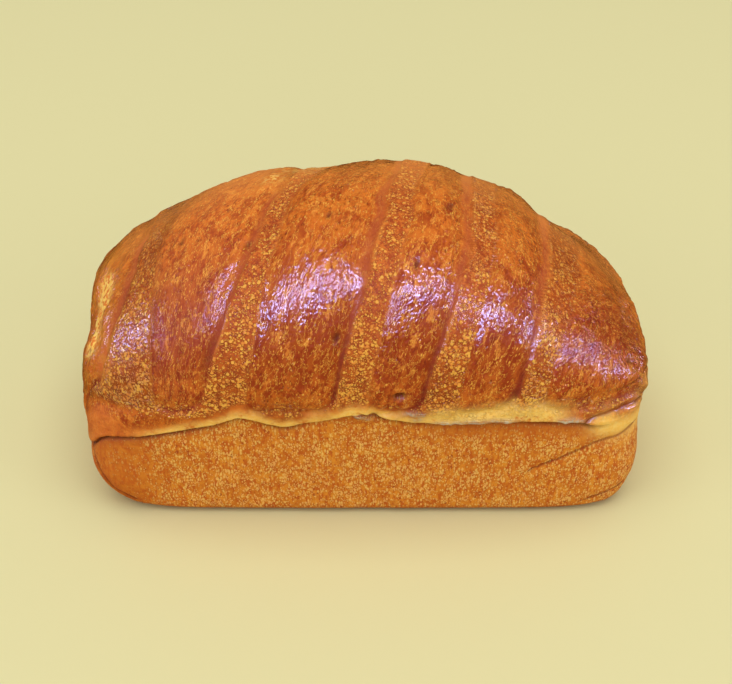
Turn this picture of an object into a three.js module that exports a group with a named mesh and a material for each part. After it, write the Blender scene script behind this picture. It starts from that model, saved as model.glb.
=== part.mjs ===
// A brioche loaf, baked in a tin: straight pale walls where the tin held the dough, a crease all round
// where the dough rose over the tin's rim, and a glazed domed top with slanting slashes across it.
//
// Units are millimetres, +Z is up. X runs along the loaf and -Y is its front. The origin is the centre of
// the flat base. The loaf is one baked piece, so the model is one closed mesh.

import * as THREE from 'three';
import { mergeVertices } from 'three/addons/utils/BufferGeometryUtils.js';

// The tin: the loaf's straight lower part is a cast of its inside.
const BASE_LENGTH = 217;
const BASE_WIDTH = 98;
const RIM_LENGTH = 219;
const RIM_WIDTH = 106;
const RIM_HEIGHT = 54.5;
const BASE_EDGE_RADIUS = 6;

// The rise above the rim: the dough swells outwards over the rim, then closes in a long dome.
const LOAF_HEIGHT = 122;
const SWELL_HEIGHT = 12;
const SWELL_SIDE = 3;
const SHOULDER_SIDE = 0.075;

// The two ends baked unevenly. rimDrop is how far the crease sinks towards the end, swell how far the dough
// stands out past the rim, shoulder how full the dome is there, fall how far its top comes down (as a share
// of the dome's height, growing with fallPower), narrowing how much narrower the dome is, and toe how far
// the bottom edge is drawn in, over the height toeHeight.
const LEFT_END = {
  rimDrop: 17,
  swell: 0.5,
  shoulder: 0.12,
  fall: 0.36,
  fallPower: 1.6,
  narrowing: 0.03,
  toe: 0.11,
  toeHeight: 32,
};
const RIGHT_END = {
  rimDrop: 4,
  swell: 2,
  shoulder: 0.05,
  fall: 0.75,
  fallPower: 2.5,
  narrowing: 0.11,
  toe: 0.03,
  toeHeight: 24,
};

// How square the outline is at each level: 2 is an ellipse, and a larger power is a squarer corner.
const BASE_SQUARENESS = 8;
const RIM_SQUARENESS = 6;
const DOME_FOOT_SQUARENESS = 3.8;
const DOME_TOP_SQUARENESS = 1.9;

// The crease under the swell, at the tin's rim.
const CREASE_DEPTH = 1.6;
const CREASE_SPREAD = 4;

// The slashes. Each one opened in the oven into a wide smooth strip, deepest along its right-hand edge,
// and narrow strips of blistered skin are left between them. A strip is placed by its middle and width
// on the crest, and by its middle and width at the foot of the dome. Behind the crest it keeps slanting.
const SKIN_STRIPS = [
  { crest: -84, crestWidth: 10, foot: -91, footWidth: 23 },
  { crest: -35, crestWidth: 10, foot: -52, footWidth: 18 },
  { crest: 12, crestWidth: 10, foot: -4, footWidth: 13 },
  { crest: 49, crestWidth: 10, foot: 30, footWidth: 13 },
  { crest: 82, crestWidth: 12, foot: 66, footWidth: 11 },
];
const SLASH_DEPTH = 1.3;
const SLASH_SPREAD = 7;
const SLASH_FADE_START = 2;
const SLASH_FADE_END = 22;

// The mesh: steps round the loaf, and rings in each zone from the base's centre up to the top.
const STEPS_ROUND = 96;
const ZONE_RINGS = { base: 1, baseEdge: 3, wall: 5, swell: 5, dome: 18 };
const MERGE_DISTANCE = 1e-3;

// The relief is pressed in towards a line inside the loaf, at the rim's height and this far each way.
const AXIS_REACH = RIM_LENGTH / 4;

const CRUST = new THREE.MeshStandardMaterial({ color: 0xa85c26, roughness: 0.35, metalness: 0 });
CRUST.name = 'glazed_crust';

const { clamp, lerp, smoothstep } = THREE.MathUtils;

// Distance from the axis to a superellipse |x/a|^n + |y/b|^n = 1, in the direction of angle.
function reach(angle, halfLength, halfWidth, power) {
  const along = Math.abs(Math.cos(angle) / halfLength) ** power;
  const across = Math.abs(Math.sin(angle) / halfWidth) ** power;
  return (along + across) ** (-1 / power);
}

// The flat base and the rounded edge round it. level runs 0 to 1 over the base, then 1 to 2 up the edge.
function lowerPoint(angle, level) {
  const turn = clamp(level - 1, 0, 1) * Math.PI / 2;
  const inset = BASE_EDGE_RADIUS * (1 - Math.sin(turn));
  const radius = reach(angle, BASE_LENGTH / 2 - inset, BASE_WIDTH / 2 - inset, BASE_SQUARENESS);
  return { radius: radius * Math.min(level, 1), z: BASE_EDGE_RADIUS * (1 - Math.cos(turn)) };
}

// The loaf's left or right end, whichever the angle points to.
function endAt(angle) {
  return Math.cos(angle) > 0 ? RIGHT_END : LEFT_END;
}

// How far x lies towards the end of the loaf, from 0 in the middle to 1 at the rim's length.
function outward(x) {
  return Math.min(Math.abs(x) / (RIM_LENGTH / 2), 1);
}

// Height of the rim's crease at x: it sinks towards both ends.
function rimHeight(x, end) {
  return RIM_HEIGHT - end.rimDrop * outward(x) ** 4;
}

// The wall that the tin shaped, with its slight outward lean. share runs 0 to 1 from base edge to rim.
function wallPoint(angle, share) {
  const halfLength = lerp(BASE_LENGTH, RIM_LENGTH, share) / 2;
  const halfWidth = lerp(BASE_WIDTH, RIM_WIDTH, share) / 2;
  const radius = reach(angle, halfLength, halfWidth, lerp(BASE_SQUARENESS, RIM_SQUARENESS, share));
  const rim = rimHeight(radius * Math.cos(angle), endAt(angle));
  return { radius, z: lerp(BASE_EDGE_RADIUS, rim, share) };
}

// The outline over the rim: swell 0 is the rim's own size and swell 1 the loaf's widest.
function swellReach(angle, swell, power) {
  const halfLength = RIM_LENGTH / 2 + endAt(angle).swell * swell;
  return reach(angle, halfLength, RIM_WIDTH / 2 + SWELL_SIDE * swell, power);
}

// The swell over the rim. share runs 0 to 1 from the rim to the widest outline.
function swellPoint(angle, share) {
  const power = lerp(RIM_SQUARENESS, DOME_FOOT_SQUARENESS, share);
  const radius = swellReach(angle, Math.sin(share * Math.PI / 2), power);
  return { radius, z: rimHeight(radius * Math.cos(angle), endAt(angle)) + SWELL_HEIGHT * share };
}

// The dome: a quarter of an ellipse from the widest outline to the top, with full shoulders, and lower
// towards both ends. share runs 0 to 1 from the widest outline to the top.
function domePoint(angle, share) {
  const end = endAt(angle);
  const turn = share * Math.PI / 2;
  const shoulder = lerp(SHOULDER_SIDE, end.shoulder, Math.cos(angle) ** 2);
  const fullness = 1 + shoulder * Math.sin(2 * turn) ** 2;
  const power = lerp(DOME_TOP_SQUARENESS, DOME_FOOT_SQUARENESS, Math.cos(turn) ** 2.4);
  const radius = swellReach(angle, 1, power) * fullness * Math.cos(turn);
  const x = radius * Math.cos(angle);
  const fallen = 1 - end.fall * outward(x) ** end.fallPower;
  const rise = (LOAF_HEIGHT - RIM_HEIGHT - SWELL_HEIGHT) * fullness * Math.sin(turn) * fallen;
  return { radius, z: rimHeight(x, end) + SWELL_HEIGHT + rise };
}

// A point of the plain loaf, before its crease and slashes. level counts the zones from the base's centre.
function loafPoint(angle, level) {
  let place;
  if (level <= 2) place = lowerPoint(angle, level);
  else if (level <= 3) place = wallPoint(angle, level - 2);
  else if (level <= 4) place = swellPoint(angle, level - 3);
  else place = domePoint(angle, level - 4);
  const end = endAt(angle);
  const x = place.radius * Math.cos(angle);
  const rim = rimHeight(x, end);
  const up = clamp((place.z - rim) / (LOAF_HEIGHT - RIM_HEIGHT), 0, 1);
  const narrowing = 1 - end.narrowing * outward(x) ** 3 * Math.sqrt(up);
  const drawnIn = 1 - end.toe * clamp(1 - place.z / end.toeHeight, 0, 1) ** 2;
  return new THREE.Vector3(x * drawnIn, place.radius * Math.sin(angle) * narrowing, place.z);
}

// Depth of the slashes at a point, aboveRim millimetres over the rim: each valley lies along the left edge
// of a skin strip and fades out towards the crease. behind is -1 at the front, 0 on the crest, 1 at the back.
function slashDepth(point, aboveRim) {
  const behind = clamp(point.y / (RIM_WIDTH / 2), -1, 1);
  let depth = 0;
  for (const strip of SKIN_STRIPS) {
    const middle = strip.crest + (strip.crest - strip.foot) * behind;
    const width = lerp(strip.crestWidth, strip.footWidth, Math.abs(behind));
    const valley = middle - (width + SLASH_SPREAD) / 2;
    depth += SLASH_DEPTH * Math.exp(-(((point.x - valley) / SLASH_SPREAD) ** 2));
  }
  return depth * smoothstep(aboveRim, SLASH_FADE_START, SLASH_FADE_END);
}

// Depth of the crease, which is deepest at the rim.
function creaseDepth(aboveRim) {
  return CREASE_DEPTH * Math.exp(-((aboveRim / CREASE_SPREAD) ** 2));
}

// Zone level of every ring of the ball that the loaf is shaped from, from the base's centre to the top.
function ringLevels() {
  const levels = [0];
  Object.values(ZONE_RINGS).forEach((rings, zone) => {
    for (let ring = 1; ring <= rings; ring += 1) levels.push(zone + ring / rings);
  });
  return levels;
}

// A ball's vertices moved to the loaf's surface: longitude stays the angle round the loaf, and each ring
// of latitude takes the level of its zone. The relief then presses each point in towards the loaf's axis.
function loafGeometry() {
  const levels = ringLevels();
  const rings = levels.length - 1;
  const ball = new THREE.SphereGeometry(1, STEPS_ROUND, rings);
  ball.deleteAttribute('normal');
  ball.deleteAttribute('uv');
  const points = ball.getAttribute('position');
  const axis = new THREE.Vector3();
  for (let index = 0; index < points.count; index += 1) {
    const step = index % (STEPS_ROUND + 1);
    const ring = Math.floor(index / (STEPS_ROUND + 1));
    const angle = step / STEPS_ROUND * 2 * Math.PI;
    const point = loafPoint(angle, levels[rings - ring]);
    const aboveRim = point.z - rimHeight(point.x, endAt(angle));
    axis.set(clamp(point.x, -AXIS_REACH, AXIS_REACH), 0, RIM_HEIGHT);
    const inwards = axis.sub(point).normalize();
    point.addScaledVector(inwards, slashDepth(point, aboveRim) + creaseDepth(aboveRim));
    points.setXYZ(index, point.x, point.y, Math.max(point.z, 0));
  }
  const shape = mergeVertices(ball, MERGE_DISTANCE);
  shape.computeBoundingBox();
  const middle = shape.boundingBox.getCenter(new THREE.Vector3());
  shape.translate(-middle.x, -middle.y, 0);
  shape.computeVertexNormals();
  return shape;
}

const loaf = new THREE.Mesh(loafGeometry(), CRUST);
loaf.name = 'loaf';

const brioche = new THREE.Group();
brioche.add(loaf);

export default brioche;
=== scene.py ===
# %% [markdown]
# # A tin-baked brioche loaf
#
# This lesson builds the looks of one brioche loaf around a fixed frame: the same loaf as a plain solid,
# at its real size, which was made first. The loaf is one baked piece, so it is one closed mesh here too,
# with one crust material that changes from place to place.

# %% Load the frame
import itertools
import math

import bpy
import numpy as np
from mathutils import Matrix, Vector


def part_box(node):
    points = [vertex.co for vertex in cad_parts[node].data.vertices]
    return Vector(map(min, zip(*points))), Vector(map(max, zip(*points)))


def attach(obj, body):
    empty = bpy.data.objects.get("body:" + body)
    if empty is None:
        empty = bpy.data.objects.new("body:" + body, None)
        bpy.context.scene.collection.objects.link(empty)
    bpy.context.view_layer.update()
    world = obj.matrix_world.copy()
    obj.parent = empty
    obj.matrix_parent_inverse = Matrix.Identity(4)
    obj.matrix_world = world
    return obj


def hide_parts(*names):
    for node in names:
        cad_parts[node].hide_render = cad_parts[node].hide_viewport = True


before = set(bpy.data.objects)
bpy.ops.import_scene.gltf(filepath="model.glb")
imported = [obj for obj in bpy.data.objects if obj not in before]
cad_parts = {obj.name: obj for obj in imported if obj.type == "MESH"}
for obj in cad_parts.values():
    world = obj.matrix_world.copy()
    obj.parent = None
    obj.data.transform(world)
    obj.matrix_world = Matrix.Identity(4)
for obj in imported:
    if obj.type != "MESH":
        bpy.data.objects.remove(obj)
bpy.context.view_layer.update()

MM = 0.001
low, high = (np.array(corner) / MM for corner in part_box("loaf"))
print("the plain solid measures", np.round(high - low, 2), "mm")

# %% [markdown]
# ## Camera
#
# The loaf is seen from the front and above, as it would be on a table in front of a standing person. The
# camera comes first, because every later choice of detail is judged through it. It looks along +Y and
# down.

# %% Camera
VIEW_ELEVATION = math.radians(41)
VIEW_DISTANCE = 0.600
AIM = np.array([0.00096, 0.0, 0.0498])
LENS = 72.3

camera = bpy.data.objects.new("camera", bpy.data.cameras.new("camera"))
camera.data.lens = LENS
camera.data.sensor_width = 36
camera.data.sensor_fit = "HORIZONTAL"
camera.data.clip_start = 0.01
camera.location = AIM + VIEW_DISTANCE * np.array([0, -math.cos(VIEW_ELEVATION), math.sin(VIEW_ELEVATION)])
camera.rotation_euler = (math.pi / 2 - VIEW_ELEVATION, 0, 0)
bpy.context.scene.collection.objects.link(camera)
bpy.context.scene.camera = camera
bpy.context.scene.view_settings.view_transform = "Standard"
print("camera at", np.round(np.array(camera.location) / MM, 1), "mm")

# %% [markdown]
# ## The loaf's form
#
# The tin gave the loaf its flat base and its straight, slightly leaning walls. Above the tin's rim the
# dough was free: it swelled out over the rim and closed in a long dome. Each level of the loaf is a
# rounded rectangle, so the whole form is one function of two numbers: an angle round the loaf and a level
# from the middle of the base (0) to the top (5). Both ends baked unevenly, so some values differ from end
# to end.

# %% Driving dimensions, in millimetres
SWELL_LEFT = 0.5
SWELL_RIGHT = 2.0
SWELL_SIDE = 3.0
SWELL_HEIGHT = 12.0
RIM_HEIGHT = 54.5
BASE_EDGE = 6.0
LEAN_LENGTH = 1.0
LEAN_WIDTH = 4.0
BASE_SQUARENESS = 8
RIM_SQUARENESS = 6
FOOT_SQUARENESS = 3.8
TOP_SQUARENESS = 1.9
SHOULDER_SIDE = 0.075

# Each pair is the left end's value, then the right end's: how far the crease sinks, how full the shoulder
# is, how far the dome's top comes down (a share of its height, growing with a power), how much narrower
# it gets, and how far the bottom edge is drawn in, over which height.
RIM_DROP = (17, 4)
SHOULDER_END = (0.12, 0.05)
FALL = (0.36, 0.75)
FALL_POWER = (1.6, 2.5)
NARROWING = (0.03, 0.11)
TOE = (0.11, 0.03)
TOE_HEIGHT = (32, 24)

length, width, height = high - low
rim_length = (length - SWELL_LEFT - SWELL_RIGHT) / 2
rim_width = width / 2 - SWELL_SIDE
base_length = rim_length - LEAN_LENGTH
base_width = rim_width - LEAN_WIDTH
dome_height = height - RIM_HEIGHT - SWELL_HEIGHT
print("half length and width at the rim", round(rim_length, 2), round(rim_width, 2))


# %% The outline at one level
def mix(a, b, share):
    """Straight from a to b as share goes from 0 to 1."""
    return a + (b - a) * share


def rise(value, start, end):
    """0 below start, 1 above end, and an S-shaped curve between."""
    share = np.clip((value - start) / (end - start), 0, 1)
    return share * share * (3 - 2 * share)


def hump(value, width):
    """A bell: 1 where value is 0, and falling away over width."""
    return np.exp(-((value / width) ** 2))


def reach(angle, half_length, half_width, squareness):
    """Distance from the axis to a rounded rectangle, |x/a|^n + |y/b|^n = 1, in the direction of angle."""
    along = np.abs(np.cos(angle) / half_length) ** squareness
    across = np.abs(np.sin(angle) / half_width) ** squareness
    return (along + across) ** (-1 / squareness)


def by_end(angle, left, right):
    """The left end's value or the right end's, whichever the angle points to."""
    return np.where(np.cos(angle) > 0, right, left)


def outward(x):
    """How far x lies towards the end of the loaf, from 0 in the middle to 1 at the rim's length."""
    return np.minimum(np.abs(x) / rim_length, 1)


def rim_at(angle, x):
    """Height of the tin's rim on the loaf: the crease there sinks towards both ends."""
    return RIM_HEIGHT - by_end(angle, *RIM_DROP) * outward(x) ** 4


# %% One point of the plain form
def lower_place(angle, level):
    """The flat base (level 0 to 1) and the quarter-round edge about it (level 1 to 2)."""
    turn = np.clip(level - 1, 0, 1) * np.pi / 2
    inset = BASE_EDGE * (1 - np.sin(turn))
    radius = reach(angle, base_length - inset, base_width - inset, BASE_SQUARENESS) * np.minimum(level, 1)
    return radius, BASE_EDGE * (1 - np.cos(turn))


def wall_place(angle, share):
    """The leaning wall: a straight line from the base edge (share 0) to the rim (share 1)."""
    half_length = mix(base_length, rim_length, share)
    half_width = mix(base_width, rim_width, share)
    radius = reach(angle, half_length, half_width, mix(BASE_SQUARENESS, RIM_SQUARENESS, share))
    return radius, mix(BASE_EDGE, rim_at(angle, radius * np.cos(angle)), share)


def swell_reach(angle, swell, squareness):
    """The outline over the rim, from the rim's own size (swell 0) to the loaf's widest (swell 1)."""
    half_length = rim_length + by_end(angle, SWELL_LEFT, SWELL_RIGHT) * swell
    return reach(angle, half_length, rim_width + SWELL_SIDE * swell, squareness)


def swell_place(angle, share):
    """The swell over the rim: it moves out along a quarter sine while it rises."""
    radius = swell_reach(angle, np.sin(share * np.pi / 2), mix(RIM_SQUARENESS, FOOT_SQUARENESS, share))
    return radius, rim_at(angle, radius * np.cos(angle)) + SWELL_HEIGHT * share


def dome_place(angle, share):
    """The dome: a quarter ellipse with full shoulders, which comes down towards both ends."""
    turn = share * np.pi / 2
    shoulder = mix(SHOULDER_SIDE, by_end(angle, *SHOULDER_END), np.cos(angle) ** 2)
    fullness = 1 + shoulder * np.sin(2 * turn) ** 2
    squareness = mix(TOP_SQUARENESS, FOOT_SQUARENESS, np.cos(turn) ** 2.4)
    radius = swell_reach(angle, 1, squareness) * fullness * np.cos(turn)
    x = radius * np.cos(angle)
    fallen = 1 - by_end(angle, *FALL) * outward(x) ** by_end(angle, *FALL_POWER)
    return radius, rim_at(angle, x) + SWELL_HEIGHT + dome_height * fullness * np.sin(turn) * fallen


def form(angle, level):
    """Points of the plain form: the zone's place, then a narrower dome and a drawn-in toe at the ends."""
    zones = (
        lower_place(angle, np.minimum(level, 2)),
        wall_place(angle, np.clip(level - 2, 0, 1)),
        swell_place(angle, np.clip(level - 3, 0, 1)),
        dome_place(angle, np.clip(level - 4, 0, 1)),
    )
    which = [level <= 2, level <= 3, level <= 4, level > 4]
    radius, z = (np.select(which, parts) for parts in zip(*zones))
    x = radius * np.cos(angle)
    up = np.clip((z - rim_at(angle, x)) / (height - RIM_HEIGHT), 0, 1)
    narrower = 1 - by_end(angle, *NARROWING) * outward(x) ** 3 * np.sqrt(up)
    toe = by_end(angle, *TOE) * np.clip(1 - z / by_end(angle, *TOE_HEIGHT), 0, 1) ** 2
    return np.stack([x * (1 - toe), radius * np.sin(angle) * narrower, z], -1)


# %% [markdown]
# ## One closed grid over it
#
# A ball's meridians would crowd at the poles. Instead the top is a rectangular grid pulled over the dome
# like a cloth: its rings are nested rectangles that become the form's levels. The rings go on down the
# wall, crowded at the crease, and close under the base.

# %% The crease line
# Where the dough crept over the rim it left a crease that wanders. Each entry is a place along the loaf,
# how far the crease is lifted there (or sunk) in millimetres, and over which spread.
FRONT_CREASE = [
    (-109, -9.0, 6),
    (-82, -3.6, 20),
    (-46, 4.4, 7),
    (-29, -2.4, 6),
    (0, 6.6, 13),
    (60, 1.0, 18),
    (91, -3.0, 8),
]
BACK_CREASE = [(-70, 2.5, 18), (-25, -2.0, 14), (20, 2.5, 16), (64, -2.5, 15)]


def crease_height(angle, x, y):
    """Height of the crease: the rim's own height and the sum of the bells of the side that y is on."""
    front = sum(lift * hump(x - place, spread) for place, lift, spread in FRONT_CREASE)
    back = sum(lift * hump(x - place, spread) for place, lift, spread in BACK_CREASE)
    return rim_at(angle, x) + front * rise(-y, 10, 40) + back * rise(y, 10, 40)


# %% Grid over the dome, rings down the wall
ACROSS = 236
DEEP = 212
around = 2 * (ACROSS + DEEP)
# Half the dome's length and height, as its slope's own length needs them.
SLOPE_LENGTH = 83
SLOPE_HEIGHT = 55

turns = np.linspace(0, 2 * np.pi, 7201)
outline = np.stack([np.cos(turns), np.sin(turns)], -1)
outline = outline * reach(turns, rim_length, rim_width, RIM_SQUARENESS)[:, None]
run = np.concatenate([[0], np.cumsum(np.linalg.norm(np.diff(outline, axis=0), axis=1))])


def angle_round(index):
    """Angle of a step round the loaf, so that equal steps are equal lengths of the rim's outline."""
    start = DEEP / 2
    return np.interp(((index - start) % around) / around * run[-1], run, turns)


quarter = np.linspace(0, np.pi / 2, 2001)
slope = np.hypot(SLOPE_LENGTH * np.sin(quarter), SLOPE_HEIGHT * np.cos(quarter))
slope_run = np.concatenate([[0], np.cumsum(slope[1:])])


def dome_level(ring):
    """Level of a ring of the dome's grid (1 at its edge, 0 in the middle), in even lengths up the slope."""
    turn = np.interp((1 - ring) * slope_run[-1], slope_run, quarter)
    return 4 + turn / (np.pi / 2)


def ring_index(u, w):
    """Steps round the nested rectangle that holds the grid point (u, w), anticlockwise from its corner."""
    size = np.maximum(np.maximum(np.abs(u), np.abs(w)), 1e-9)
    u, w = u / size, w / size
    right = (w + 1) / 2 * DEEP
    top = DEEP + (1 - u) / 2 * ACROSS
    left = DEEP + ACROSS + (1 - w) / 2 * DEEP
    bottom = 2 * DEEP + ACROSS + (u + 1) / 2 * ACROSS
    sides = [(u >= 1 - 1e-9) & (w < 1 - 1e-9), w >= 1 - 1e-9, u <= -1 + 1e-9]
    return np.select(sides, [right, top, left], bottom) % around


u, w = np.meshgrid(np.linspace(-1, 1, ACROSS + 1), np.linspace(-1, 1, DEEP + 1), indexing="ij")
cap_angle = angle_round(ring_index(u, w)).ravel()
cap_level = dome_level(np.maximum(np.abs(u), np.abs(w))).ravel()

WALL_RINGS = 19
CREASE_RINGS = 15
SWELL_RINGS = 7
EDGE_RINGS = 5
BASE_RINGS = 4
ring_angle = angle_round(np.arange(around))
rim_reach = reach(ring_angle, rim_length, rim_width, RIM_SQUARENESS)
rim_x = rim_reach * np.cos(ring_angle)
rim_y = rim_reach * np.sin(ring_angle)
rim_z = rim_at(ring_angle, rim_x)
crease_z = crease_height(ring_angle, rim_x, rim_y)
# The rings crowd between these two stops, a little above and below the crease (stop 2).
CREASE_TOP = 2 + 4 / 12
CREASE_BOTTOM = 1 + 45 / 48
stops = np.concatenate([
    np.linspace(3, CREASE_TOP, SWELL_RINGS, endpoint=False)[1:],
    np.linspace(CREASE_TOP, CREASE_BOTTOM, CREASE_RINGS, endpoint=False),
    np.linspace(CREASE_BOTTOM, 1, WALL_RINGS, endpoint=False),
])


def level_at_height(z):
    """Level whose wall or swell passes the height z on the ring's own line."""
    wall = 2 + (z - BASE_EDGE) / (rim_z - BASE_EDGE)
    swell = 3 + (z - rim_z) / SWELL_HEIGHT
    return np.where(z <= rim_z, wall, swell)


def level_of(stop):
    """Level of a ring: stop 1 is the base edge, 2 the crease and 3 the top of the swell."""
    lower = mix(BASE_EDGE, crease_z, stop - 1)
    upper = mix(crease_z, rim_z + SWELL_HEIGHT, stop - 2)
    return level_at_height(np.where(stop <= 2, lower, upper))


rings = [level_of(stop) for stop in stops]
rings += [np.full(around, level) for level in np.linspace(2, 1, EDGE_RINGS, endpoint=False)]
rings += [np.full(around, level) for level in np.linspace(1, 0, BASE_RINGS, endpoint=False)]
wall_level = np.concatenate(rings)
wall_angle = np.tile(ring_angle, len(rings))
angle = np.concatenate([cap_angle, wall_angle, [0]])
level = np.concatenate([cap_level, wall_level, [0]])
plain = form(angle, level)
print(len(plain), "points,", len(rings), "rings down the wall")

# %% Faces of the grid and the rings
cap_at = np.arange((ACROSS + 1) * (DEEP + 1)).reshape(ACROSS + 1, DEEP + 1)
cap_faces = np.stack([cap_at[:-1, :-1], cap_at[1:, :-1], cap_at[1:, 1:], cap_at[:-1, 1:]], -1)
cap_faces = cap_faces.reshape(-1, 4)
edge = np.concatenate([cap_at[-1, :-1], cap_at[:0:-1, -1], cap_at[0, :0:-1], cap_at[:-1, 0]])
ring_at = cap_at.size + np.arange(len(rings) * around).reshape(len(rings), around)
ring_at = np.concatenate([edge[None], ring_at])
following = np.roll(ring_at, -1, axis=1)
wall_faces = np.stack([ring_at[:-1], ring_at[1:], following[1:], following[:-1]], -1).reshape(-1, 4)
quads = np.concatenate([cap_faces, wall_faces])
centre = len(plain) - 1
fan = np.stack([ring_at[-1], np.full(around, centre), following[-1]], -1)


def normals_of(points):
    """Unit normals: each face's own normal, added up at its corners."""
    corners = points[quads]
    face = np.cross(corners[:, 2] - corners[:, 0], corners[:, 3] - corners[:, 1])
    total = np.stack([
        sum(np.bincount(quads[:, c], face[:, axis], len(points)) for c in range(4)) for axis in range(3)
    ], -1)
    total[centre] = (0, 0, -1)
    return total / np.maximum(np.linalg.norm(total, axis=1, keepdims=True), 1e-12)


print("triangles:", 2 * len(quads) + len(fan))

# %% [markdown]
# ## Where each part of the crust lies
#
# Before baking, the dome was slashed on a slant. Each slash opened into a wide smooth strip, and narrow
# strips of the old skin, full of fine blisters, are left between them. To place all that, every point
# gets its own address: x along the loaf, and phi, the angle up over the dome from the front rim (0) over
# the crest (90) to the back rim (180).

# %% Addresses on the dome
# Low on the two end faces this angle would jump from front to back, so there it is measured as if the
# point lay at least END_LIFT over the rim, and it turns gently instead.
END_LIFT = 25.0
x, y, z = plain.T
phi = np.degrees(np.arctan2(z - RIM_HEIGHT, -y)) % 360
phi = np.where(phi > 270, phi - 360, phi)
end_phi = np.degrees(np.arctan2(np.maximum(z - RIM_HEIGHT, END_LIFT), -y))
phi = mix(phi, end_phi, rise(np.abs(x), 96, 108) * (1 - rise(np.abs(y), 20, 42)))
DOME_ARC = 58.0
arc = np.radians(phi) * DOME_ARC
over_crease = z - crease_height(angle, x, y)


def lumps(points, size, seed):
    """Smooth noise from -1 to 1: random values on a cubic lattice of the given size, blended between."""
    table = np.random.default_rng(seed).uniform(-1, 1, (32, 32, 32))
    place = points / size + 1000
    cell = np.floor(place).astype(int)
    part = place - cell
    part = part * part * (3 - 2 * part)
    total = 0
    for corner in itertools.product((0, 1), repeat=3):
        share = np.prod(np.where(corner, part, 1 - part), axis=-1)
        i, j, k = ((cell + corner) % 32).T
        total = total + share * table[i, j, k]
    return total


# %% [markdown]
# ## Strips and slashes
#
# Five strips of old skin slant over the dome. They are set first, each by its middle and width at the crest
# and at the foot, and the slashes are then whatever lies between them, so the two can never overlap.

# %% Strips of skin between the slashes
# Middle and width of each strip on the crest and at the foot of the dome, how suddenly it bends over, how
# far it slants on behind the crest, and how much glaze the brush left on it (0 to 1).
STRIPS = [
    dict(crest=-82.5, foot=-89.0, crest_width=9.5, foot_width=23, bend=2.0, behind=10, glaze=0.9),
    dict(crest=-31.0, foot=-51.5, crest_width=8.0, foot_width=18, bend=1.4, behind=28, glaze=0.1),
    dict(crest=14.5, foot=-4.0, crest_width=10.0, foot_width=12.5, bend=1.5, behind=14, glaze=0.05),
    dict(crest=47.0, foot=29.0, crest_width=9.5, foot_width=12.5, bend=2.0, behind=3, glaze=0.45),
    dict(crest=79.0, foot=63.0, crest_width=12.5, foot_width=9, bend=2.2, behind=1, glaze=0.8),
]
tilt = np.cos(np.radians(np.clip(phi, 0, 180)))
in_front = np.clip(tilt, 0, 1)
behind = np.clip(-tilt, 0, 1)
over_dome = np.stack([0 * x, arc, x], -1)
wobble = 0.9 * lumps(over_dome, 14, 5) + 0.35 * lumps(over_dome, 4, 6)


def strip_edges(strip):
    """Left and right edge of a strip at each point's phi."""
    middle = strip["crest"] - (strip["crest"] - strip["foot"]) * in_front ** strip["bend"]
    middle = middle + strip["behind"] * behind
    wide = mix(strip["crest_width"], strip["foot_width"], np.maximum(in_front, behind) ** 2.4)
    return middle - wide / 2 + wobble, middle + wide / 2 + 0.8 * wobble


edges = [strip_edges(strip) for strip in STRIPS]
off_end_wall = 1 - rise(np.abs(x), 96, 108) * (1 - rise(over_crease, 0, 4))
on_dome = rise(phi, 0, 8) * rise(180 - phi, 0, 8) * off_end_wall


# Each slash runs from one strip's right edge to the next strip's left edge, and ends in a rounded corner
# a few millimetres above the front and back rim.
def rounded_edge(a, b, radius):
    """The smaller of two distances to an edge, with the corner between the edges rounded."""
    corner = radius - np.hypot(radius - a, radius - b)
    return np.where((a < radius) & (b < radius), corner, np.minimum(a, b))


SLASH_FOOT = 6.5
RIGHT_CORNER = 11.0
LEFT_CORNER = 4.0
FIRST_SLASH_START = -128.0
LAST_SLASH_END = 118.0
IN_NO_SLASH = -9.0
FULL_WIDTH = 30.0
lefts = [np.full_like(x, FIRST_SLASH_START)] + [right for left, right in edges]
rights = [left for left, right in edges] + [np.full_like(x, LAST_SLASH_END)]
up = np.minimum(arc, np.pi * DOME_ARC - arc) - SLASH_FOOT
up = up - 1.5 * lumps(np.stack([x, 0 * x, 0 * y], -1), 16, 7)
from_left = np.full_like(x, IN_NO_SLASH)
to_right = np.full_like(x, IN_NO_SLASH)
slash_width = np.full_like(x, FULL_WIDTH)
for start, end in zip(lefts, rights):
    inside = np.minimum(x - start, end - x) > np.minimum(from_left, to_right)
    from_left = np.where(inside, x - start, from_left)
    to_right = np.where(inside, end - x, to_right)
    slash_width = np.where(inside, end - start, slash_width)
right_edge = rounded_edge(to_right, up, RIGHT_CORNER)
left_edge = rounded_edge(from_left, up, LEFT_CORNER)
opened = rise(np.minimum(right_edge, left_edge), -0.6, 0.6) * off_end_wall

# The slant of the nearest strips, for everything that runs along them.
pull = [hump(x - (left + right) / 2, 18) + 1e-6 for left, right in edges]
shifts = [(left + right) / 2 - strip["crest"] for (left, right), strip in zip(edges, STRIPS)]
lean = sum(p * shift for p, shift in zip(pull, shifts)) / sum(pull)
radial = np.hypot(y, z - RIM_HEIGHT)
flow = np.stack([x - lean, arc, radial], -1)
print("slashes cover", round(float(opened.mean()), 3), "of the points")

# %% [markdown]
# ## Relief of the dome
#
# Where a slash opened, fresh dough pushed up like a pillow, highest near its left side, and sank into a
# valley along its right side. The surface there is torn into strands and pebbles, while the old skin
# keeps a fine grain and a thin raised edge. All of this could be sculpted by hand; here it is one height
# in millimetres that is added up from bells, rises and noise, so it can be read and changed.

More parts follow.
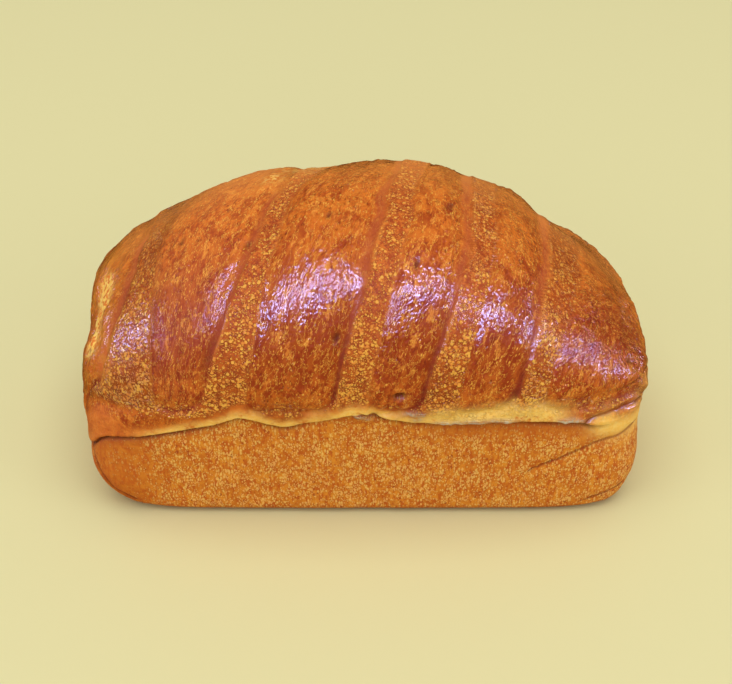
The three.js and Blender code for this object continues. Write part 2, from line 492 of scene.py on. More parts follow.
# %% Relief of the dome
PILLOW_HEIGHT = 1.7
across_slash = np.clip(from_left / np.maximum(slash_width, 1), 0, 1)
pillow = np.sin(np.pi * across_slash ** 0.5) * np.clip(slash_width / FULL_WIDTH, 0.5, 1.1)
calmer = 1 - 0.6 * rise(phi, 80, 120)
flatter_ends = 1 - 0.9 * rise(np.abs(x), 98, 108)
relief = PILLOW_HEIGHT * pillow * opened * rise(up, 0, 14) * calmer * flatter_ends
low_down = 1 - rise(up, 15, 60)
relief = relief - mix(0.5, 1.1, low_down) * hump(right_edge - 0.6, 2.4) * opened * calmer
relief = relief - 0.5 * hump(right_edge - 3.5, 3.5) * opened
relief = relief - 0.4 * hump(left_edge, 1.5) * opened
for left, right in edges:
    relief = relief + 0.22 * hump(x - left - 0.7, 0.9) * on_dome
    relief = relief + 0.30 * hump(right - x - 0.6, 0.9) * on_dome
torn_up = np.clip(lumps(flow / (9, 22, 30), 1, 21) * 1.2 + 0.45, 0, 1) * opened * rise(right_edge, 4.5, 7)
strands = lumps(flow / (1.6, 6.0, 2.5), 1, 11) + 0.6 * lumps(flow / (0.9, 2.6, 1.5), 1, 12)
relief = relief + strands * (0.09 + 0.24 * torn_up) * opened
pebbles = np.abs(lumps(flow / (2.4, 3.4, 3.0), 1, 15)) + 0.6 * np.abs(lumps(flow / (1.5, 2.0, 2.0), 1, 16))
relief = relief + 0.30 * pebbles * torn_up
ridges = hump(lumps(flow / (5.0, 42, 60), 1, 13), 0.10) * rise(lumps(flow / (9, 16, 30), 1, 14), -0.1, 0.3)
relief = relief + 0.55 * ridges * opened * rise(right_edge, 2, 6)
relief = relief + 0.55 * lumps(plain, 24, 31) * rise(z, RIM_HEIGHT, RIM_HEIGHT + 20)
relief = relief + 0.25 * lumps(plain, 7, 32) * rise(z, RIM_HEIGHT - 2, RIM_HEIGHT + 8)
blistered = (1 - opened) * on_dome
glaze = sum(p * strip["glaze"] for p, strip in zip(pull, STRIPS)) / sum(pull)
relief = relief + 0.12 * np.clip(lumps(plain, 1.9, 33), -0.2, 1) * (0.5 + blistered)
print("relief of the dome, in millimetres", np.round([relief.min(), relief.max()], 2))

# %% [markdown]
# ## Uneven rising
#
# Dough never rises evenly, and this loaf sags behind its crest and swells at its lower left corner. A
# lattice or a soft brush could do this too. A few bells are enough, and each says what it does.

# %% Uneven rising
# Each entry is a place (x, y, z), a spread and how far the loaf stands out there.
BULGES = [
    ((-105, 20, 72), 18, 3.0),
    ((-107, -22, 52), 15, 1.2),
    ((-108, -6, 68), 11, -2.0),
    ((-100, -45, 17), 14, 3.2),
    ((-60, 34, 102), 20, -2.2),
    ((-16, 36, 113), 18, -2.0),
    ((20, 36, 112), 15, 1.8),
    ((80, 36, 87), 13, -4.6),
    ((96, 34, 75), 13, -2.0),
    ((108, 22, 66), 13, -2.6),
    ((107, -35, 60), 14, 2.0),
    ((106, -38, 20), 15, 3.0),
]
for place, spread, out in BULGES:
    relief = relief + out * hump(np.linalg.norm(plain - place, axis=1), spread)
print(len(BULGES), "bulges and hollows")

# %% [markdown]
# ## The crease
#
# The dough that crept over the tin's rim left a sharp line with a soft lip above it, and at the front
# right it tore into pale shreds. The mesh's rings crowd here, so the line can be pressed in as real
# relief.

# %% The crease
along = plain * (1, 1, 0)
ragged = lumps(along, 3.2, 41) * 0.6 + lumps(along, 1.4, 42) * 0.4
front = rise(-y, 20, 45)
faded = 1 - 0.8 * hump(x + 10, 13) * front
step = over_crease + 0.35 * ragged
crease = (hump(step, 0.75) * 1.5 + hump(step + 0.8, 2.2) * 0.45) * faded
lip = hump(step - 1.8, 1.6) * 0.45 * faded
right_end = rise(x, 85, 97)
crease = crease * (1 - 0.9 * right_end)
relief = relief - crease + lip * (1 - right_end)

shred = np.maximum(hump(x - 43, 17), 0.6 * hump(x - 79, 9)) * front
shred = rise(shred, 0.25, 0.6) * hump(over_crease - 1.9 + 0.6 * ragged, 1.7)
relief = relief + shred * (0.6 + 0.6 * ragged)
print("the crease is", round(float(crease.max()), 2), "mm deep at most")

# %% [markdown]
# ## The wall
#
# The tin pressed the wall flat, so it only swells a little and keeps a fine grain.

# %% The wall
wall = 1 - rise(over_crease, -0.6, 0.8)
relief = relief + wall * (0.35 * lumps(plain, 18, 51) + 0.16 * lumps(plain, 4.5, 52))
relief = relief + wall * 0.10 * np.clip(lumps(plain, 1.8, 53), -0.3, 1)
print("the wall covers", round(float(wall.mean()), 3), "of the points")

# %% [markdown]
# ## Folds and pits
#
# Both front corners are folded where the dough was tucked in, the left end tore open, and burst bubbles
# left small pits. The mesh is too coarse on the wall for a sharp fold, so each fold is a soft groove
# here, and its distance goes to the material, which paints the fine dark line of shade in it: painted
# shade. The pits are painted dark in the material as well, as painted shade.


# %% Folds and pits
def near_line(*stops):
    """Distance of every point from the line that runs straight from stop to stop."""
    nearest = np.full(len(plain), 1e3)
    for start, end in zip(stops[:-1], stops[1:]):
        start, way = np.array(start, float), np.subtract(end, start)
        share = np.clip((plain - start) @ way / (way @ way), 0, 1)
        nearest = np.minimum(nearest, np.linalg.norm(plain - start - share[:, None] * way, axis=1))
    return nearest


wander = 0.8 * lumps(plain, 5, 81)
FOLD_WIDTH = 1.5
FOLD_REACH = 6
# Each fold's depth, and the places (x, z) that it passes on the front.
FOLDS = {
    "fold_right": (1.2, [(83, 52), (90, 55), (100, 57), (110, 53)]),
    "fold_wall": (1.0, [(64, 26), (73, 31), (83, 37), (90, 41), (98, 42), (108, 44)]),
    "fold_toe": (0.8, [(86, 5), (97, 10), (108, 14)]),
    "fold_left": (1.6, [(-108, 32), (-102, 21), (-97, 12), (-88, 4)]),
}
folds = {}
for name, (depth, stops) in FOLDS.items():
    along_fold, fold_height = np.array(stops, float).T
    gap = z - np.interp(x, along_fold, fold_height) + 0.5 * wander
    off_end = np.maximum(along_fold[0] - x, x - along_fold[-1])
    on_fold = (1 - rise(off_end, -4, 0)) * rise(-y, 8, 20)
    relief = relief - depth * hump(gap, FOLD_WIDTH) * on_fold
    gap = np.clip(gap, -FOLD_REACH, FOLD_REACH)
    folds[name] = np.where(on_fold > 0.01, gap / np.maximum(on_fold, 0.05), FOLD_REACH)

# A thread of crust that curls over the crease, and the blob at its end.
CURL = [(-2, -55, 61), (5, -56, 58), (12, -56, 58.5), (17, -56, 62), (23, -56, 62.5)]
curl = hump(near_line(*CURL) + 0.4 * wander, 0.9)
curl = np.maximum(curl, hump(np.linalg.norm(plain - (21, -56, 59), axis=1), 2.4))
relief = relief + 1.3 * curl

left_tear = hump(near_line((-102, 1, 77), (-101, -8, 77), (-105, -21, 69)) + 1.6 * wander, 7.6)
relief = relief - left_tear * (0.9 + 1.2 * lumps(plain, 4.0, 82) + 0.7 * lumps(plain, 2.0, 83))
crack = hump(near_line((-108, -12, 67), (-106, -24, 67)) + 0.5 * wander, 1.3)
relief = relief - 1.6 * crack


def near_spot(x0, phi0, long, wide):
    """1 at one address on the dome, fading over an oval that lies along the slashes."""
    arc0 = math.radians(phi0) * DOME_ARC
    shift = (arc - arc0) * 0.25
    return np.exp(-(((x - x0 - shift) / wide) ** 2) - (((arc - arc0) / long) ** 2))


# Each pit's address (x, phi), its reach along and across the slashes, and its depth.
PITS = [
    (14, 17, 1.5, 2.6, 3.2),
    (-9, 39, 1.8, 1.2, 1.2),
    (20, 62, 2.0, 0.9, 0.9),
    (101, 25, 1.6, 1.2, 1.3),
    (95, 133, 3.0, 0.8, 1.0),
    (-67, 80, 2.2, 0.8, 0.8),
    (-42, 72, 1.6, 0.9, 0.8),
    (-12, 80, 1.5, 0.8, 0.7),
    (33, 88, 2.4, 0.9, 0.9),
]
pits = np.zeros_like(x)
for x0, phi0, long, wide, depth in PITS:
    spot = near_spot(x0, phi0, long, wide)
    relief = relief - depth * spot
    pits = np.maximum(pits, spot)
print(len(FOLDS), "folds and", len(PITS), "pits")

# %% [markdown]
# ## Put the relief on
#
# Every point moves out along its own normal by its relief. The base stays flat, for the loaf to stand on.

# %% Put the relief on
relief = relief * rise(z, 0.5, 5)
shaped = plain + normals_of(plain) * relief[:, None]
shaped[:, 2] = np.maximum(shaped[:, 2], 0)
middle = (plain.max(0) + plain.min(0)) / 2
wanted = (low + high) / 2
shaped[:, :2] += wanted[:2] - middle[:2]
print("box of the visible loaf", np.round(shaped.min(0), 2), np.round(shaped.max(0), 2))

# %% [markdown]
# ## What the material needs to know
#
# Glaze, blisters, torn crumb and matt wall each have their place on the loaf. They could be painted on by
# hand. Instead every point keeps a few numbers from 0 to 1, worked out from the same edges as the relief,
# so colour and shape always agree.

# %% What the material needs to know at each point
valley_width = 3.0 + 1.8 * lumps(flow / (30, 13, 30), 1, 18)
valley = (1 - rise(right_edge, valley_width - 1.2, valley_width + 1.2)) * opened
valley = valley * rise(lumps(flow / (25, 18, 25), 1, 19), -0.75, 0.0)
# Thin pale lines on the strips' raised edges: partly their own paler crust, partly a painted highlight
# where the edges catch the light.
pale_lit_edge = np.zeros_like(x)
for left, right in edges:
    pale_lit_edge = np.maximum(pale_lit_edge, hump(x - left - 0.5, 0.55))
    pale_lit_edge = np.maximum(pale_lit_edge, 0.6 * hump(right - x - 0.4, 0.5))
pale_lit_edge = pale_lit_edge * on_dome * rise(lumps(flow / (3, 14, 20), 1, 17), -0.3, 0.4)
torn = np.zeros_like(x)
# Small torn places on the crest: a place (x, y, z), a spread and how torn it is.
TEARS = [
    ((-35, 21, 117), 4, 0.55),
    ((-22, 34, 112), 9, 0.4),
]
for place, spread, strength in TEARS:
    torn = np.maximum(torn, strength * hump(np.linalg.norm(plain - place, axis=1), spread))
torn = np.clip(torn * 1.5 + 0.5 * lumps(plain, 3, 61) * torn, 0, 1)
torn = np.maximum(torn, np.clip(left_tear * 2.4 - 0.6, 0, 1))

pale_here = rise(x, -92, -76) * (1 - rise(x, 70, 84))
band_top = 5.0 + 0.8 * rise(x, -55, -30) + 7.0 * rise(x, 18, 34) + 1.2 * lumps(along, 9, 71) + 0.8 * ragged
band_fade = 0.8 + 4.5 * rise(x, 14, 30)
band = rise(over_crease, 0.1, 0.7)
band = band * (1 - rise(over_crease + 1.3 * lumps(plain, 3.0, 73), band_fade, band_top + 2.0))
band = band * mix(1, pale_here, front)
foot_top = 7.5 + 1.5 * lumps(along, 9, 72) + 7.0 * rise(-x, 88, 104)
plain_foot = rise(over_crease, 0.0, 1.0) * (1 - rise(over_crease, foot_top - 3, foot_top + 2))
plain_foot = plain_foot * mix(1, 1 - rise(x, 15, 30), front)
# Painted shade: the crease, the pits and the crack are darkened in the colour, for the shade that falls in
# them.
crease_and_pit_shade = np.clip(crease / 1.7, 0, 1) * (1 - shred) + np.clip(pits * 1.2, 0, 1) + crack
crease_and_pit_shade = crease_and_pit_shade * (1 - curl)
pale_corner = hump(near_line((93, -49, 50), (100, -46, 47), (108, -37, 46)) + wander, 6.0)
end_face = rise(x, 107.0, 109.5) + rise(-x, 106.5, 109)
# Where the wall has fewer flecks: on the left end, and under the crease on the right half. Both places are
# also painted darker, as painted shade under the crease.
smooth_wall_and_shade = np.maximum(rise(-x, 68, 98), hump(over_crease + 3, 5) * rise(x, 15, 40)) * wall
height_share = rise(phi, 8, 75) * rise(180 - phi, 8, 75)
spotted = blistered * mix(1.15, 0.85, height_share) + opened * mix(0.60, 0.08, rise(up, 2, 18))
spotted = spotted * (1 - plain_foot) * (1 - end_face)
masks = dict(
    skin=blistered,
    wall=wall,
    band=band,
    torn=torn,
    shred=np.maximum(shred, curl),
    valley=valley,
    crease_and_pit_shade=np.clip(crease_and_pit_shade, 0, 1),
    torn_up=torn_up,
    upward=height_share,
    middle=hump(phi - 42, 24) + hump(phi - 138, 24),
    spotted=spotted,
    low_wall=1 - rise(z, 1, 7),
    **folds,
    plain_foot=plain_foot,
    pale_corner=pale_corner,
    smooth_wall_and_shade=smooth_wall_and_shade,
    end_face=end_face * (1 - wall),
    pale_lit_edge=pale_lit_edge,
    dull_skin=blistered * (1 - glaze) + 0.9 * opened * hump(x - lean + 57, 19),
    # Painted light on the crest and the top of the back.
    painted_crest_light=rise(phi, 86, 122),
    left_cheek=rise(-x, 91, 99) * (1 - wall) * rise(up, 4, 16),
)
print(len(masks), "numbers at each point")

# %% [markdown]
# ## The mesh
#
# The points, faces and numbers become one Blender mesh. Its place is in its points, so the object itself
# stays at the origin, and it rides on the fixed frame's only body.

# %% The mesh
mesh = bpy.data.meshes.new("brioche_loaf")
mesh.from_pydata((shaped * MM).tolist(), [], quads.tolist() + fan.tolist())
for name, values in masks.items():
    layer = mesh.attributes.new(name, "FLOAT", "POINT")
    layer.data.foreach_set("value", values.astype(np.float32))
layer = mesh.attributes.new("flow", "FLOAT_VECTOR", "POINT")
layer.data.foreach_set("vector", flow.astype(np.float32).ravel())
mesh.polygons.foreach_set("use_smooth", np.ones(len(mesh.polygons), bool))
mesh.validate()
mesh.update()
loaf = bpy.data.objects.new("brioche_loaf", mesh)
bpy.context.scene.collection.objects.link(loaf)
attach(loaf, "root")
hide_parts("loaf")
print("the loaf's mesh has", len(mesh.vertices), "points")

# %% [markdown]
# ## The crust
#
# One material covers the loaf, because one crust does. Its colours change with the numbers made above,
# and its fine spots, blisters and strands are procedural noise in millimetres. A few helpers keep its
# nodes short to write.

# %% Node helpers
crust = bpy.data.materials.new("glazed_crust")
crust.use_nodes = True
tree = crust.node_tree
tree.nodes.clear()


def add(kind, inputs=(), **settings):
    """A new node with its settings, and its inputs set to values or linked to sockets."""
    made = tree.nodes.new(kind)
    for name, value in settings.items():
        setattr(made, name, value)
    for name, value in dict(inputs).items():
        if isinstance(value, bpy.types.NodeSocket):
            tree.links.new(value, made.inputs[name])
        else:
            made.inputs[name].default_value = value
    return made


def mask(name):
    """The value of one of the loaf's own masks."""
    return add("ShaderNodeAttribute", attribute_name=name).outputs["Fac"]


def maths(operation, a, b=0.0, c=0.0, clamp=False):
    """One sum on numbers."""
    return add("ShaderNodeMath", {0: a, 1: b, 2: c}, operation=operation, use_clamp=clamp).outputs[0]


def ramp(value, start, end, low=0.0, high=1.0):
    """The value stretched from start..end to low..high, in an S-shaped curve."""
    inputs = {"Value": value, "From Min": start, "From Max": end, "To Min": low, "To Max": high}
    return add("ShaderNodeMapRange", inputs, interpolation_type="SMOOTHSTEP").outputs["Result"]


def blend(share, a, b):
    """Colour a turning into colour b as share goes from 0 to 1."""
    made = add("ShaderNodeMix", data_type="RGBA")
    for socket, value in ((made.inputs["Factor"], share), (made.inputs[6], a), (made.inputs[7], b)):
        if isinstance(value, bpy.types.NodeSocket):
            tree.links.new(value, socket)
        else:
            socket.default_value = value if isinstance(value, float) else (*value, 1)
    return made.outputs[2]


def stretched(vector, sizes):
    """Coordinates divided by the sizes, so that a pattern of size 1 gets those sizes."""
    scale = tuple(1 / size for size in sizes)
    return add("ShaderNodeVectorMath", {0: vector, 1: scale}, operation="MULTIPLY").outputs[0]


def noise(vector, size, detail=2.0, roughness=0.5):
    """Soft noise about 0.5 with features of the given size."""
    inputs = {"Vector": vector, "Scale": 1 / size, "Detail": detail, "Roughness": roughness}
    return add("ShaderNodeTexNoise", inputs).outputs["Fac"]


def spots(vector, size, amount):
    """Round spots on scattered cells: a cell's own random number says whether it has one, and how large."""
    cells = add("ShaderNodeTexVoronoi", {"Vector": vector, "Scale": 1 / size})
    luck = add("ShaderNodeSeparateColor", {0: cells.outputs["Color"]}).outputs[0]
    radius = ramp(luck, maths("SUBTRACT", 1.0, amount), maths("SUBTRACT", 1.7, amount), 0.0, 0.46)
    return ramp(maths("SUBTRACT", radius, cells.outputs["Distance"]), -0.02, 0.12)


# %% Coordinates and masks
place = add("ShaderNodeTexCoord").outputs["Object"]
place = stretched(place, (MM, MM, MM))
flowing = add("ShaderNodeAttribute", attribute_name="flow").outputs["Vector"]
on = {name: mask(name) for name in masks}

# %% [markdown]
# ## Patterns
#
# Noise on plain coordinates makes the grain that has no direction. Noise on the flow coordinates, which
# run along the slashes, makes all that the stretching dough drew out: threads, flakes and grit.

# %% Patterns
mottle = noise(place, 5.0, 4.0, 0.65)
fine = noise(place, 1.5, 3.0, 0.65)
broad = noise(place, 15, 3.0, 0.6)
patches = noise(stretched(flowing, (4.0, 7.0, 5.0)), 1, 5.0, 0.75)
gilded_patch = noise(stretched(flowing, (5.0, 9.0, 7.0)), 1, 3.0, 0.6)
grit = spots(stretched(flowing, (0.85, 1.5, 1.2)), 1, ramp(gilded_patch, 0.40, 0.62, 0.05, 0.80))
pocks = spots(stretched(flowing, (1.0, 1.9, 1.5)), 1, ramp(gilded_patch, 0.35, 0.55, 0.60, 0.10))
thread = noise(stretched(flowing, (2.2, 6.0, 4.0)), 1, 3.0, 0.6)
thread = ramp(maths("ABSOLUTE", maths("SUBTRACT", thread, 0.5)), 0.0, 0.02, 1.0, 0.0)
gilded = noise(stretched(flowing, (3.0, 6.5, 4.0)), 1, 4.0, 0.7)
flakes = noise(stretched(flowing, (2.6, 4.2, 3.4)), 1, 4.0, 0.7)
spot_share = maths("MULTIPLY", on["spotted"], ramp(noise(place, 8), 0.35, 0.65, 0.8, 1.4))
blisters = maths("MAXIMUM", spots(place, 1.7, spot_share), spots(place, 1.0, spot_share))
blisters = maths("MAXIMUM", blisters, maths("MULTIPLY", spots(place, 0.62, spot_share), 0.7))
wall_share = ramp(noise(stretched(place, (7, 7, 12)), 1, 2.0), 0.35, 0.65, 0.85, 1.3)
wall_share = maths("MULTIPLY", wall_share, ramp(on["smooth_wall_and_shade"], 0.0, 1.0, 1.0, 0.55))
flecks = spots(stretched(place, (1, 1, 2.1)), 1.05, wall_share)
flecks = maths("MAXIMUM", flecks, spots(stretched(place, (1, 1, 1.6)), 0.70, wall_share))
streaks = noise(stretched(place, (1.3, 1.3, 4.5)), 1, 3.0, 0.6)
specks = spots(stretched(place, (1, 1, 1.8)), 1.5, ramp(noise(place, 7), 0.4, 0.65, 0.1, 0.75))

# %% [markdown]
# ## Colours
#
# Egg wash bakes from gold through chestnut to deep red, darkest where it lay thickest. The skin between
# the slashes is browner and dotted with pale blisters. Below the crease the tin kept the crust tan. Some of
# the colour is painted light and shade: painted shade in the valleys, on the wall under the crease, in the
# folds, the crease and the pits, a painted sheen high in the valleys, and painted light on the crest and on
# the strips' raised edges. Each colour is mixed over the last one, from the broad patches to the fine
# spots, and the tears and the painted shade of the folds and pits come last.

# %% Colours
RUST = (0.20, 0.021, 0.002)
DARK_RED = (0.17, 0.016, 0.003)
DEEP_RED = (0.25, 0.024, 0.004)
# The next colour is a painted sheen, for the valleys' upper parts.
MAUVE_SHEEN = (0.42, 0.082, 0.014)
CHESTNUT = (0.36, 0.048, 0.005)
AMBER = (0.66, 0.160, 0.014)
HONEY = (0.80, 0.280, 0.038)
HONEY_BROWN = (0.71, 0.195, 0.020)
BUFF = (0.90, 0.33, 0.055)
OLIVE = (0.26, 0.048, 0.003)
SKIN = (0.45, 0.098, 0.004)
CREAM = (0.90, 0.46, 0.065)
TAN = (0.73, 0.265, 0.022)
TAN_DARK = (0.51, 0.115, 0.006)
TAN_PALE = (0.96, 0.53, 0.15)
RUSSET = (0.50, 0.085, 0.005)
GOLD = (0.95, 0.55, 0.10)
CRUMB = (0.96, 0.64, 0.17)
SHRED = (0.52, 0.47, 0.36)
SHRED_WARM = (0.58, 0.32, 0.12)
# The last colour is painted shade for the crease, the pits and the crack.
PIT_SHADE = (0.09, 0.012, 0.002)


def share_of(name, amount):
    """A mask, weakened to the amount."""
    return maths("MULTIPLY", on[name], amount)


def line_on(name, half_width):
    """1 on a fold's line and 0 beyond its half width."""
    return ramp(maths("ABSOLUTE", on[name]), 0.15, half_width, 1.0, 0.0)


fold_groove_and_shade = maths("MAXIMUM", maths("MULTIPLY", line_on("fold_right", 1.3), 0.8), line_on("fold_left", 3.0))
low_folds = maths("MAXIMUM", line_on("fold_wall", 1.3), line_on("fold_toe", 1.2))
fold_groove_and_shade = maths("MAXIMUM", fold_groove_and_shade, maths("MULTIPLY", low_folds, 0.7))
slashed = blend(ramp(patches, 0.42, 0.58), CHESTNUT, AMBER)
slashed = blend(maths("MULTIPLY", on["upward"], ramp(broad, 0.42, 0.62, 0.12, 0.55)), slashed, HONEY_BROWN)
slashed = blend(share_of("middle", 0.70), slashed, DEEP_RED)
slashed = blend(ramp(flakes, 0.58, 0.66, 0.0, 0.60), slashed, RUST)
slashed = blend(ramp(gilded, 0.56, 0.64, 0.0, 0.60), slashed, HONEY)
slashed = blend(maths("MULTIPLY", pocks, 0.75), slashed, RUST)
slashed = blend(maths("MULTIPLY", grit, 0.80), slashed, blend(ramp(fine, 0.4, 0.6), HONEY, CREAM))
slashed = blend(maths("MULTIPLY", thread, 0.60), slashed, CREAM)
# The valley along each slash's right side: its own smooth dark red crust, painted darker still as painted
# shade in the valley.
valley_colour_and_shade = blend(ramp(mottle, 0.40, 0.60), DARK_RED, DEEP_RED)
valley_colour_and_shade = blend(ramp(fine, 0.52, 0.70, 0.0, 0.5), valley_colour_and_shade, CHESTNUT)
# Painted sheen: the upper valleys turn mauve, as the lilac glints would make them.
valley_colour_and_shade = blend(share_of("upward", 0.75), valley_colour_and_shade, MAUVE_SHEEN)
valley_colour_and_shade_share = maths("MULTIPLY", on["valley"], ramp(on["upward"], 0.2, 0.9, 0.90, 0.66))
slashed = blend(valley_colour_and_shade_share, slashed, valley_colour_and_shade)
skinned = blend(ramp(mottle, 0.42, 0.58), OLIVE, SKIN)
skinned = blend(maths("MULTIPLY", ramp(fine, 0.46, 0.58), 0.30), skinned, AMBER)
skinned = blend(share_of("middle", 0.35), skinned, CHESTNUT)
skin_above = blend(ramp(fine, 0.42, 0.66), CHESTNUT, HONEY_BROWN)
skinned = blend(share_of("upward", 0.6), skinned, skin_above)
domed = blend(on["skin"], slashed, skinned)
blister_colour = blend(ramp(noise(place, 2.2), 0.40, 0.60), HONEY, CREAM)
domed = blend(maths("MULTIPLY", blisters, ramp(on["upward"], 0.0, 1.0, 0.85, 0.75)), domed, blister_colour)
# Painted light: the crest and the top of the back are painted paler, for the light and sheen they catch
# near the skyline.
domed = blend(share_of("painted_crest_light", 0.50), domed, BUFF)
domed = blend(share_of("left_cheek", 0.65), domed, blend(ramp(mottle, 0.4, 0.6), AMBER, TAN))
# Partly painted highlight: the strips' raised edges are painted pale, partly their own paler crust.
domed = blend(share_of("pale_lit_edge", 0.55), domed, HONEY)
foot_colour = blend(ramp(mottle, 0.35, 0.65), blend(0.6, CHESTNUT, AMBER), HONEY_BROWN)
domed = blend(share_of("plain_foot", 0.8), domed, foot_colour)
domed = blend(share_of("end_face", 0.6), domed, blend(ramp(mottle, 0.4, 0.6), AMBER, TAN))
walled = blend(ramp(mottle, 0.38, 0.62, 0.35, 1.0), TAN_DARK, TAN)
walled = blend(ramp(streaks, 0.38, 0.54, 0.75, 0.0), walled, RUSSET)
walled = blend(maths("MULTIPLY", specks, 0.75), walled, CHESTNUT)
fleck_colour = blend(ramp(noise(place, 2.4), 0.4, 0.6), TAN_PALE, CRUMB)
walled = blend(maths("MULTIPLY", flecks, 0.60), walled, fleck_colour)
# Painted shade: the wall is darkened on the left end and under the crease on the right half.
walled = blend(share_of("smooth_wall_and_shade", 0.55), walled, TAN_DARK)
walled = blend(ramp(on["low_wall"], 0.3, 1.0, 0.0, 0.6), walled, CHESTNUT)
banded = blend(ramp(mottle, 0.26, 0.46), AMBER, blend(ramp(fine, 0.35, 0.65), GOLD, CRUMB))
colour = blend(share_of("band", 0.96), domed, banded)
colour = blend(on["wall"], colour, walled)
colour = blend(share_of("pale_corner", 0.92), colour, blend(ramp(fine, 0.35, 0.65), GOLD, CRUMB))
crumbs = blend(ramp(noise(place, 3.0, 3.0, 0.6), 0.42, 0.58), GOLD, CRUMB)
torn_colour = blend(ramp(noise(place, 2.0, 2.0), 0.42, 0.54), HONEY_BROWN, crumbs)
colour = blend(on["torn"], colour, torn_colour)
fibres = noise(stretched(place, (6, 6, 0.8)), 1, 2.0)
shredded = blend(ramp(fine, 0.4, 0.6), SHRED, SHRED_WARM)
shredded = blend(ramp(fibres, 0.50, 0.58, 0.0, 0.7), shredded, CHESTNUT)
colour = blend(share_of("shred", 0.95), colour, shredded)
# Painted shade: a fine dark line along each fold.
colour = blend(maths("MULTIPLY", fold_groove_and_shade, 0.80), colour, RUST)
# Painted shade in the crease, the pits and the crack.
colour = blend(share_of("crease_and_pit_shade", 0.8), colour, PIT_SHADE)


# %% [markdown]
# ## Surface
#
# The glaze is a clear shiny layer over a duller crust, so it is the shader's coat, and its weight falls
# to nothing where the crust is matt: the wall, the valleys, the torn places and the strips that the brush
# missed. The smallest grain is bump, because no mesh could carry it.


# %% Surface
def tall(height, share, millimetres):
    """A pattern's height where its share says, so many millimetres tall."""
    return maths("MULTIPLY", maths("MULTIPLY", height, share), millimetres)


lively = ramp(on["torn_up"], 0.0, 0.6, 0.45, 1.0)
lively = maths("MULTIPLY", lively, maths("SUBTRACT", 1.0, on["wall"]))
ripple = noise(stretched(flowing, (1.3, 3.2, 2.0)), 1, 1.0, 0.5)
dimple = noise(stretched(flowing, (0.8, 1.2, 1.0)), 1, 0.0)
soft = noise(place, 1.2, 0.0)
relief_parts = [
    tall(soft, 1.0, 0.16),
    tall(blisters, 1.0, 0.34),
    tall(flecks, on["wall"], 0.14),
    tall(noise(place, 1.6), on["wall"], 0.30),
    tall(ripple, lively, 0.58),
    tall(dimple, lively, 0.36),
    tall(grit, lively, 0.16),
    tall(pocks, lively, -0.20),
    tall(flakes, lively, -0.30),
    tall(fold_groove_and_shade, 1.0, -0.5),
    tall(noise(stretched(place, (2.5, 2.5, 0.6)), 1, 2.0), on["shred"], 0.8),
]
bump_height = relief_parts[0]
for part in relief_parts[1:]:
    bump_height = maths("ADD", bump_height, part)
bump = add("ShaderNodeBump", {"Strength": 1.0, "Distance": MM, "Height": bump_height})

matt = share_of("band", 0.8)
for dull in (share_of("valley", 0.92), share_of("plain_foot", 0.8)):
    matt = maths("MAXIMUM", matt, dull)
for name in ("wall", "torn", "pale_corner", "dull_skin", "crease_and_pit_shade", "shred"):
    matt = maths("MAXIMUM", matt, on[name])
shader = add("ShaderNodeBsdfPrincipled", {
    "Base Color": colour,
    "Roughness": ramp(matt, 0.0, 1.0, 0.45, 0.70),
    "Specular IOR Level": 0.12,
    "Coat Weight": ramp(matt, 0.0, 1.0, 1.0, 0.0),
    "Coat Roughness": 0.06,
    "Normal": bump.outputs["Normal"],
    "Coat Normal": bump.outputs["Normal"],
})
add("ShaderNodeOutputMaterial", {"Surface": shader.outputs["BSDF"]})
mesh.materials.append(crust)
print("the crust has", len(tree.nodes), "nodes")

# %% [markdown]
# ## The floor
#
# A plain pale yellow floor, dull, so that the loaf's shadow is all that shows on it.

# %% Floor
FLOOR_COLOUR = (0.675, 0.635, 0.335, 1)
bpy.ops.mesh.primitive_plane_add(size=6)
floor = bpy.context.object
floor.name = "floor"
floor_paint = bpy.data.materials.new("pale_floor")
floor_paint.use_nodes = True
paint = floor_paint.node_tree.nodes["Principled BSDF"]
paint.inputs["Base Color"].default_value = FLOOR_COLOUR
paint.inputs["Roughness"].default_value = 0.85
paint.inputs["Specular IOR Level"].default_value = 0.1
floor.data.materials.append(floor_paint)
floor.visible_glossy = False

# %% [markdown]
# ## The light
#
# Soft white boxes light the loaf from above, the front and both sides, as a studio would. They would also
# show as white patches in the glaze, so they are hidden from reflections. The glaze gets its glints from
# six small violet cards instead, which only a shiny surface shows. Each card is placed by the direction
# that its glint asks for.


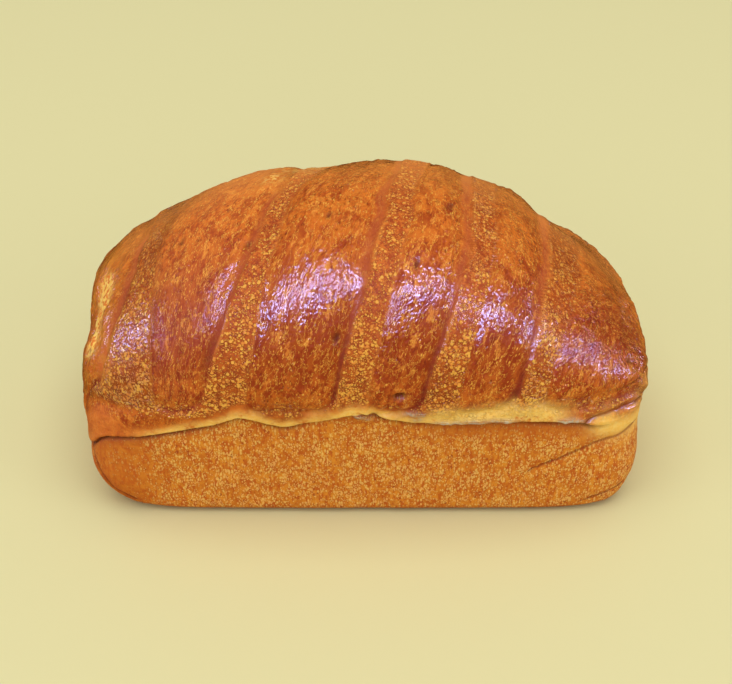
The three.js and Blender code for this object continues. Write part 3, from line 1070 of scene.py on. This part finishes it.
# %% Lights
def softbox(name, place, aim, size, watts, colour):
    """A rectangular soft light that points from its place to its aim."""
    lamp = bpy.data.lights.new(name, "AREA")
    lamp.shape = "RECTANGLE"
    lamp.size, lamp.size_y = size
    lamp.energy = watts
    lamp.color = colour
    made = bpy.data.objects.new(name, lamp)
    made.location = place
    way = np.array(aim) - np.array(place)
    way = way / np.linalg.norm(way)
    made.rotation_euler = (math.acos(-way[2]), 0, math.atan2(-way[0], way[1]))
    bpy.context.scene.collection.objects.link(made)
    return made


WHITE = (1.0, 0.98, 0.96)
FILL_AIM = (0, 0, 0.05)
for name, spot, size, watts in (
    ("overhead", (0, -0.4, 2.4), (2.4, 2.0), 38.0),
    ("front_fill", (0, -2.4, 1.1), (2.0, 1.4), 7.0),
    ("left_fill", (-2.0, -0.9, 0.9), (1.2, 1.2), 7.0),
    ("right_fill", (2.0, -0.9, 0.9), (1.2, 1.2), 9.0),
):
    lamp = softbox(name, spot, FILL_AIM, size, watts, WHITE)
    lamp.visible_glossy = False

GLOSS_TINT = (0.40, 0.48, 1.0)
GLOSS_DISTANCE = 0.9
GLOSS_AIM = (0, 0, 0.09)
# Bearing of each card (0 is the front, and it grows to the right), its height as an angle, its size and
# watts.
for name, bearing, climb, size, watts in (
    ("gloss_card", -22, 51, (0.14, 0.62), 11.0),
    ("right_top_gloss_card", 27, 58, (0.12, 0.48), 10.0),
    ("right_gloss_card", 58, 38, (0.10, 0.20), 2.5),
    ("far_right_gloss_card", 84, 5, (0.15, 0.16), 3.6),
    ("left_gloss_card", -58, 24, (0.15, 0.28), 4.2),
    ("far_left_gloss_card", -94, 14, (0.18, 0.20), 3.0),
):
    turn = math.radians(bearing)
    lift = math.radians(climb)
    way = np.array([math.sin(turn) * math.cos(lift), -math.cos(turn) * math.cos(lift), math.sin(lift)])
    card = softbox(name, GLOSS_DISTANCE * way + GLOSS_AIM, GLOSS_AIM, size, watts, GLOSS_TINT)
    card.visible_diffuse = False

world = bpy.data.worlds.new("studio")
world.use_nodes = True
world.node_tree.nodes["Background"].inputs["Color"].default_value = (*WHITE, 1)
world.node_tree.nodes["Background"].inputs["Strength"].default_value = 0.52
# Cycles looks up the scene's world when a visibility is set, so the scene takes the world first.
bpy.context.scene.world = world
world.cycles_visibility.glossy = False
